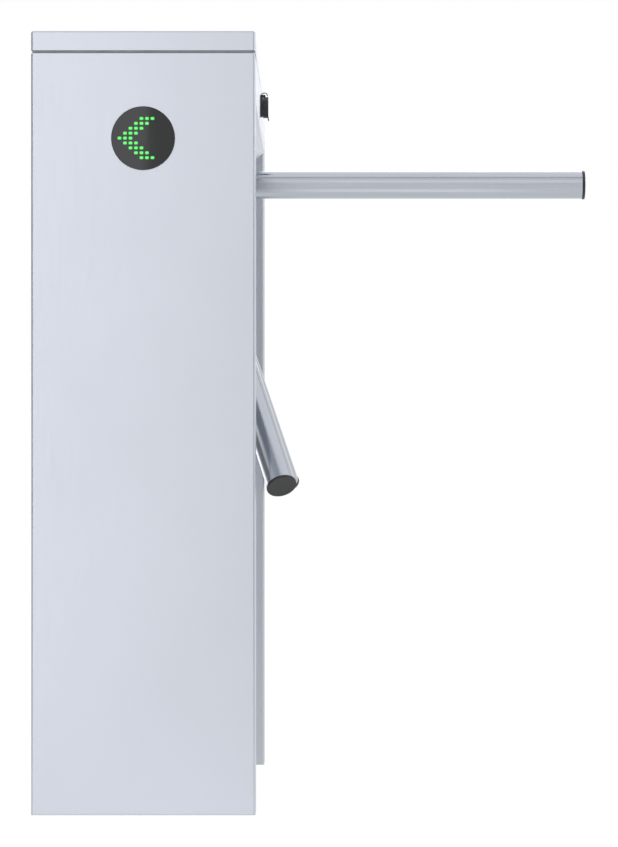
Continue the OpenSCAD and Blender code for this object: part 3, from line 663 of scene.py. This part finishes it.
def socket_screw(bm, place, radius, height):
    """A low round head with a hexagonal socket."""
    sides = 24
    top_r = radius * 0.92
    rounding = height * 0.22
    rim = radius * 0.38
    socket_r = radius * 0.5
    socket_edge = radius * 0.02
    socket_depth = height * 0.6
    made = stud(bm, place, sides, radius, top_r, 0, height)
    out = (place.to_3x3() @ Vector((0, 0, 1))).normalized()
    caps = {f for v in made["verts"] for f in v.link_faces if len(f.verts) == sides}
    top = max(caps, key=lambda f: f.calc_center_median().dot(out))
    round_off(bm, list(top.edges), rounding, 3)
    caps = {f for f in bm.faces if len(f.verts) == sides}
    centre = place @ Vector((0, 0, height))
    top = min(caps, key=lambda f: (f.calc_center_median() - centre).length)
    bmesh.ops.inset_region(bm, faces=[top], thickness=rim, depth=0.0)
    back = place.inverted()
    for v in top.verts:
        local = back @ v.co
        angle = math.atan2(local.y, local.x) % (math.pi / 3) - math.pi / 6
        reach = socket_r * math.cos(math.pi / 6) / math.cos(angle)
        flat = Vector((local.x, local.y, 0)).normalized() * reach
        v.co = place @ Vector((flat.x, flat.y, local.z))
    bmesh.ops.inset_region(bm, faces=[top], thickness=socket_edge, depth=0.0)
    bmesh.ops.translate(bm, vec=-out * socket_depth, verts=top.verts)


def hex_bolt(bm, place, radius, height):
    """A washer under a six-sided head with chamfered corners."""
    washer_t = height * 0.25
    chamfer = radius * 0.08
    stud(bm, place, 24, radius * 1.35, radius * 1.3, 0, washer_t)
    head = stud(bm, place, 6, radius, radius, washer_t, height)
    round_off(bm, edges_of(head), chamfer, 2)


def fasteners(name, body, kind, places, head, finish=zinc_plate):
    """One piece of like screws or bolts on a body."""
    bm = bmesh.new()
    for place in places:
        kind(bm, place, *head)
    bmesh.ops.recalc_face_normals(bm, faces=bm.faces)
    settle(name, bm, body, [finish])


# Control board and the parts soldered to it, placed from the board's low corner
CHIP_HEIGHT = 0.0125
TERMINALS = 14
TERMINAL_START = 0.020
TERMINAL_PITCH = 0.0077
CLAMP_ROW = 0.010
ENTRY_ROW = 0.003
SCREW_ROW = 0.011
SCREW_SEAT = 0.0094
# Each moulded block: its size and the width of its soft edges
CLAMP = ((0.0074, 0.0110, 0.0098), 0.0006)
ENTRY = ((0.0060, 0.0044, 0.0060), 0.0004)
RELAY = ((0.0185, 0.0150, 0.0120), 0.0010)
RELAY_SPOTS = ((0.086, 0.080), (0.108, 0.080))
# Each capacitor: its place along and up the board, its radius and its height
CAPACITORS = (
    (0.020, 0.080, 0.0062, 0.012),
    (0.037, 0.080, 0.0062, 0.012),
    (0.053, 0.084, 0.0046, 0.010),
)

board_low, board_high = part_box("control_board")
board_face = board_high[0] - CHIP_HEIGHT
on_board = Matrix.Translation((board_face, board_low[1], board_low[2])) @ Matrix(
    ((0, 0, 1, 0), (1, 0, 0, 0), (0, 1, 0, 0), (0, 0, 0, 1))
)


def bare_board():
    """The CAD's board, with its chips in black plastic."""
    bm = copy_of_node("control_board")
    break_edges(bm, 0.0002)
    for face in bm.faces:
        if face.calc_center_median().x > board_face + 0.0002:
            face.material_index = 1
    finishes = [laminate, black_plastic]
    name = "control_board"
    settle(name + "_finished", bm, "cabinet", finishes, [name])


def moulded_block(bm, centre, size, edge):
    """A box with soft edges that stands on the board."""
    made = bmesh.ops.create_cube(bm, size=1.0)
    bmesh.ops.scale(bm, vec=size, verts=made["verts"])
    bmesh.ops.translate(bm, vec=(*centre, size[2] / 2), verts=made["verts"])
    round_off(bm, edges_of(made), edge, 2)


def seat_on_board(name, bm, finish):
    bmesh.ops.transform(bm, matrix=on_board, verts=bm.verts)
    settle(name, bm, "cabinet", [finish])


def capacitor(name, u, v, r, h):
    """A sleeved can with a groove near its foot and a bare top."""
    rim = 0.0007
    dish = 0.0003
    sleeve = [(0, 0), (r * 0.92, 0), (r, 0.0006), (r, 0.0022), (r * 0.93, 0.0029), (r, 0.0036)]
    sleeve += corner(r - rim, h - rim, rim, 0)
    sleeve += [(r * 0.8, h), (r * 0.78, h - dish), (0, h - dish)]
    bm = spun(sleeve, on_board @ Matrix.Translation((u, v, 0)), 32)
    back = on_board.inverted()
    for face in bm.faces:
        local = back @ face.calc_center_median()
        if local.z > h - 0.0005 and math.hypot(local.x - u, local.y - v) < r * 0.79:
            face.material_index = 1
    settle(name, bm, "cabinet", [black_plastic, zinc_plate])


def board_parts():
    along = [TERMINAL_START + TERMINAL_PITCH * i for i in range(TERMINALS)]
    terminals = bmesh.new()
    for u in along:
        moulded_block(terminals, (u, CLAMP_ROW), *CLAMP)
        moulded_block(terminals, (u, ENTRY_ROW), *ENTRY)
    seat_on_board("board_terminals", terminals, terminal_grey)

    screws = [on_board @ Matrix.Translation((u, SCREW_ROW, SCREW_SEAT)) for u in along]
    fasteners("terminal_screws", "cabinet", socket_screw, screws, TERMINAL_HEAD)

    relays = bmesh.new()
    for spot in RELAY_SPOTS:
        moulded_block(relays, spot, *RELAY)
    seat_on_board("board_relays", relays, relay_cover)

    for i, measures in enumerate(CAPACITORS):
        capacitor("board_capacitor_%d" % (i + 1), *measures)


bare_board()
board_parts()


# Screws and bolts of the cabinet
LEAF_FACE = -SIDE_X - LEAF_T
LEAF_STEPS = (-0.030, 0.0, 0.030)
# Body, piece and height of the screws in the hinges' leaves
LEAF_SCREWS = (("lid", "hinge_lid_screws", 0.9878), ("cabinet", "hinge_body_screws", 0.9602))
BEARING_SCREWS = 6
BEARING_RING = 0.0365
BEARING_RIM_Z = STACK_Z - 0.008
PLATE_BOLT_X = (-0.106, 0.062)
PLATE_BOLT_Y = (-0.098, 0.098)


def behind(x, y, z, turn=0):
    """A place beside the leaning axis, whose local Z points into the cabinet."""
    about_axis = ON_AXIS @ Matrix.Rotation(math.radians(turn), 4, "Z")
    return about_axis @ Matrix.Translation((x, y, z)) @ Matrix.Rotation(math.pi, 4, "X")


for end, side in ENDS:
    cover_y = end * (END_Y - LEG_DEPTH - SHEET)
    spots = [
        facing((x, cover_y, z), (0, -end, 0))
        for x in (-COVER_SCREW_X, COVER_SCREW_X)
        for z in COVER_SCREW_HEIGHTS
    ]
    fasteners(side + "_cover_screws", "cabinet", socket_screw, spots, COVER_HEAD)

for body, name, height in LEAF_SCREWS:
    spots = [
        facing((LEAF_FACE, side * HINGE_Y + step, height), (-1, 0, 0))
        for side in (-1, 1)
        for step in LEAF_STEPS
    ]
    fasteners(name, body, socket_screw, spots, LEAF_HEAD)

ring_spots = [
    behind(BEARING_RING, 0, BEARING_RIM_Z, 360 / BEARING_SCREWS * (i + 0.5))
    for i in range(BEARING_SCREWS)
]
fasteners(
    "bearing_screws", "cabinet", socket_screw, ring_spots, BEARING_HEAD,
    turned_steel,
)
plate_spots = [behind(x, y, STACK_Z) for x in PLATE_BOLT_X for y in PLATE_BOLT_Y]
fasteners("plate_bolts", "cabinet", hex_bolt, plate_spots, PLATE_HEAD)
pillar_spots = [behind(x, y, BRIDGE_BACK) for x, y in PILLAR_SPOTS]
fasteners("pillar_bolts", "cabinet", hex_bolt, pillar_spots, PILLAR_HEAD)


# Grub screws that hold each arm in its socket, and the screw in the nose
SOCKET_WALL_R = 0.0238
GRUB_Z = 0.078
GRUB_ANGLES = (180 - 38, 180 + 38)
NOSE_FACE = NOSE_Z + 0.005


def on_socket(k, angle):
    """A place on the wall of arm k's socket, whose local Z points away from the arm."""
    about_arm = along_arm(k) @ Matrix.Rotation(math.radians(angle), 4, "Z")
    outward = Matrix.Rotation(math.pi / 2, 4, "Y")
    return about_arm @ Matrix.Translation((SOCKET_WALL_R, 0, GRUB_Z)) @ outward


fasteners(
    "arm_grub_screws", "tripod", socket_screw,
    [on_socket(k, angle) for k in range(3) for angle in GRUB_ANGLES], GRUB_HEAD,
    turned_steel,
)
fasteners(
    "nose_screw", "tripod", socket_screw,
    [ON_AXIS @ Matrix.Translation((0, 0, NOSE_FACE))], NOSE_HEAD,
    turned_steel,
)


# White room and floor
ROOM_LIGHT = 0.8
ROOM_COLOUR = (0.97, 0.98, 1.0, 1)
FLOOR_SIZE = 40.0
FLOOR_GLOW = 0.94
FLOOR_PAINT = (0.1, 0.1, 0.1, 1)


def shown_white(tree, lit, shown):
    """Mixes a plain white into what the camera and mirror-like surfaces see."""
    path = tree.nodes.new("ShaderNodeLightPath")
    seen = combine(tree, "MAXIMUM", path.outputs["Is Camera Ray"], path.outputs["Is Glossy Ray"])
    seen = combine(tree, "MAXIMUM", seen, path.outputs["Is Transmission Ray"])
    mix = tree.nodes.new("ShaderNodeMixShader")
    for socket, value in zip(mix.inputs, (seen, lit, shown)):
        tree.links.new(value, socket)
    return mix.outputs[0]


def white_room():
    world = bpy.data.worlds.new("white_room")
    bpy.context.scene.world = world
    world.use_nodes = True
    tree = world.node_tree
    room = tree.nodes["Background"]
    room.inputs["Color"].default_value = ROOM_COLOUR
    room.inputs["Strength"].default_value = ROOM_LIGHT
    backdrop = tree.nodes.new("ShaderNodeBackground")
    backdrop.inputs["Color"].default_value = (1, 1, 1, 1)
    mixed = shown_white(tree, room.outputs[0], backdrop.outputs[0])
    tree.links.new(mixed, tree.nodes["World Output"].inputs["Surface"])


def white_floor():
    """A floor that shows as white, with the pieces' soft shadows on its paint."""
    bm = bmesh.new()
    bmesh.ops.create_grid(bm, x_segments=8, y_segments=8, size=FLOOR_SIZE / 2)
    material, shader = new_finish("floor_white", (0.8, 0.8, 0.81), 0.0, 0.9)
    tree = material.node_tree
    glow = tree.nodes.new("ShaderNodeEmission")
    glow.inputs["Strength"].default_value = FLOOR_GLOW
    paint = tree.nodes.new("ShaderNodeBsdfDiffuse")
    paint.inputs["Color"].default_value = FLOOR_PAINT
    both = tree.nodes.new("ShaderNodeAddShader")
    tree.links.new(glow.outputs[0], both.inputs[0])
    tree.links.new(paint.outputs[0], both.inputs[1])
    mixed = shown_white(tree, shader.outputs[0], both.outputs[0])
    tree.links.new(mixed, tree.nodes["Material Output"].inputs["Surface"])
    floor = new_object("floor", bm, [material])


white_room()
white_floor()


# Studio cards and lamps
def card(name, centre, direction, size, level, lean=0.0):
    """A card that only mirror-like surfaces see: grey below a level of 1, lit above it."""
    bm = bmesh.new()
    bmesh.ops.create_grid(bm, x_segments=1, y_segments=1, size=0.5)
    bmesh.ops.scale(bm, vec=(*size, 1), verts=bm.verts)
    tilt = Matrix.Rotation(math.radians(lean), 4, "Z")
    bmesh.ops.transform(bm, matrix=facing(centre, direction) @ tilt, verts=bm.verts)
    material = bpy.data.materials.new(name)
    material.use_nodes = True
    nodes = material.node_tree.nodes
    nodes.clear()
    grey = nodes.new("ShaderNodeEmission")
    grey.inputs["Color"].default_value = (level, level, level * 1.03, 1)
    out = nodes.new("ShaderNodeOutputMaterial")
    material.node_tree.links.new(grey.outputs[0], out.inputs["Surface"])
    board = new_object(name, bm, [material])
    for ray in ("camera", "diffuse", "transmission", "volume_scatter", "shadow"):
        setattr(board, "visible_" + ray, False)


card("bright_card", (-0.571, -2.4, 1.0), (0, 1, 0), (0.96, 3.0), 1.85, 2.3)
card("low_card", (-0.5, -1.7, 0.006), (0, 0, 1), (0.8, 1.4), 1.6)
card("foot_card", (0.0, -0.705, 0.001), (0, 0, 1), (1.1, 0.59), 1.3)
card("upper_card", (0.45, -2.3, 2.05), (0, 1, -0.4), (2.2, 1.1), 1.2)
card("left_flag", (-1.395, -1.617, 0.9), (0.719, 0.695, 0), (1.4, 3.0), 0.0)
card("right_flag", (1.29, -1.795, 0.9), (-0.925, 0.38, 0), (1.26, 3.0), 0.3)
card("rear_card", (0.6, 3.2, 0.35), (0, -1, 0), (1.2, 1.7), 1.2)
card("rear_high_card", (0.6, 3.2, 2.2), (0, -1, 0), (1.2, 2.0), 2.5)
card("high_flag", (0.3, -1.1, 3.09), (0, 0.44, -0.9), (4.0, 0.5), 0.6)
card("roof_card", (1.0, 0.55, 2.7), (0, 0, -1), (3.6, 2.6), 1.15)
card("far_left_flag", (-2.3, 0.55, 1.25), (1, 0, 0), (2.1, 1.1), 0.25)
card("back_left_card", (-2.0, 3.3, 0.35), (0.3, -1, 0), (2.6, 0.7), 2.2)


def soft_lamp(name, place, target, size, watts):
    data = bpy.data.lights.new(name, "AREA")
    data.shape = "RECTANGLE"
    data.size, data.size_y = size
    data.energy = watts
    lamp = bpy.data.objects.new(name, data)
    lamp.location = place
    to_target = Vector(target) - Vector(place)
    lamp.rotation_euler = to_target.to_track_quat("-Z", "Y").to_euler()
    bpy.context.scene.collection.objects.link(lamp)


soft_lamp("key_lamp", (-1.8, -2.6, 2.4), (0, 0, 0.6), (1.6, 1.6), 22)
soft_lamp("fill_lamp", (2.6, -1.2, 1.8), (0.1, 0, 0.6), (1.6, 1.6), 12)

bpy.context.scene.view_settings.view_transform = "Standard"
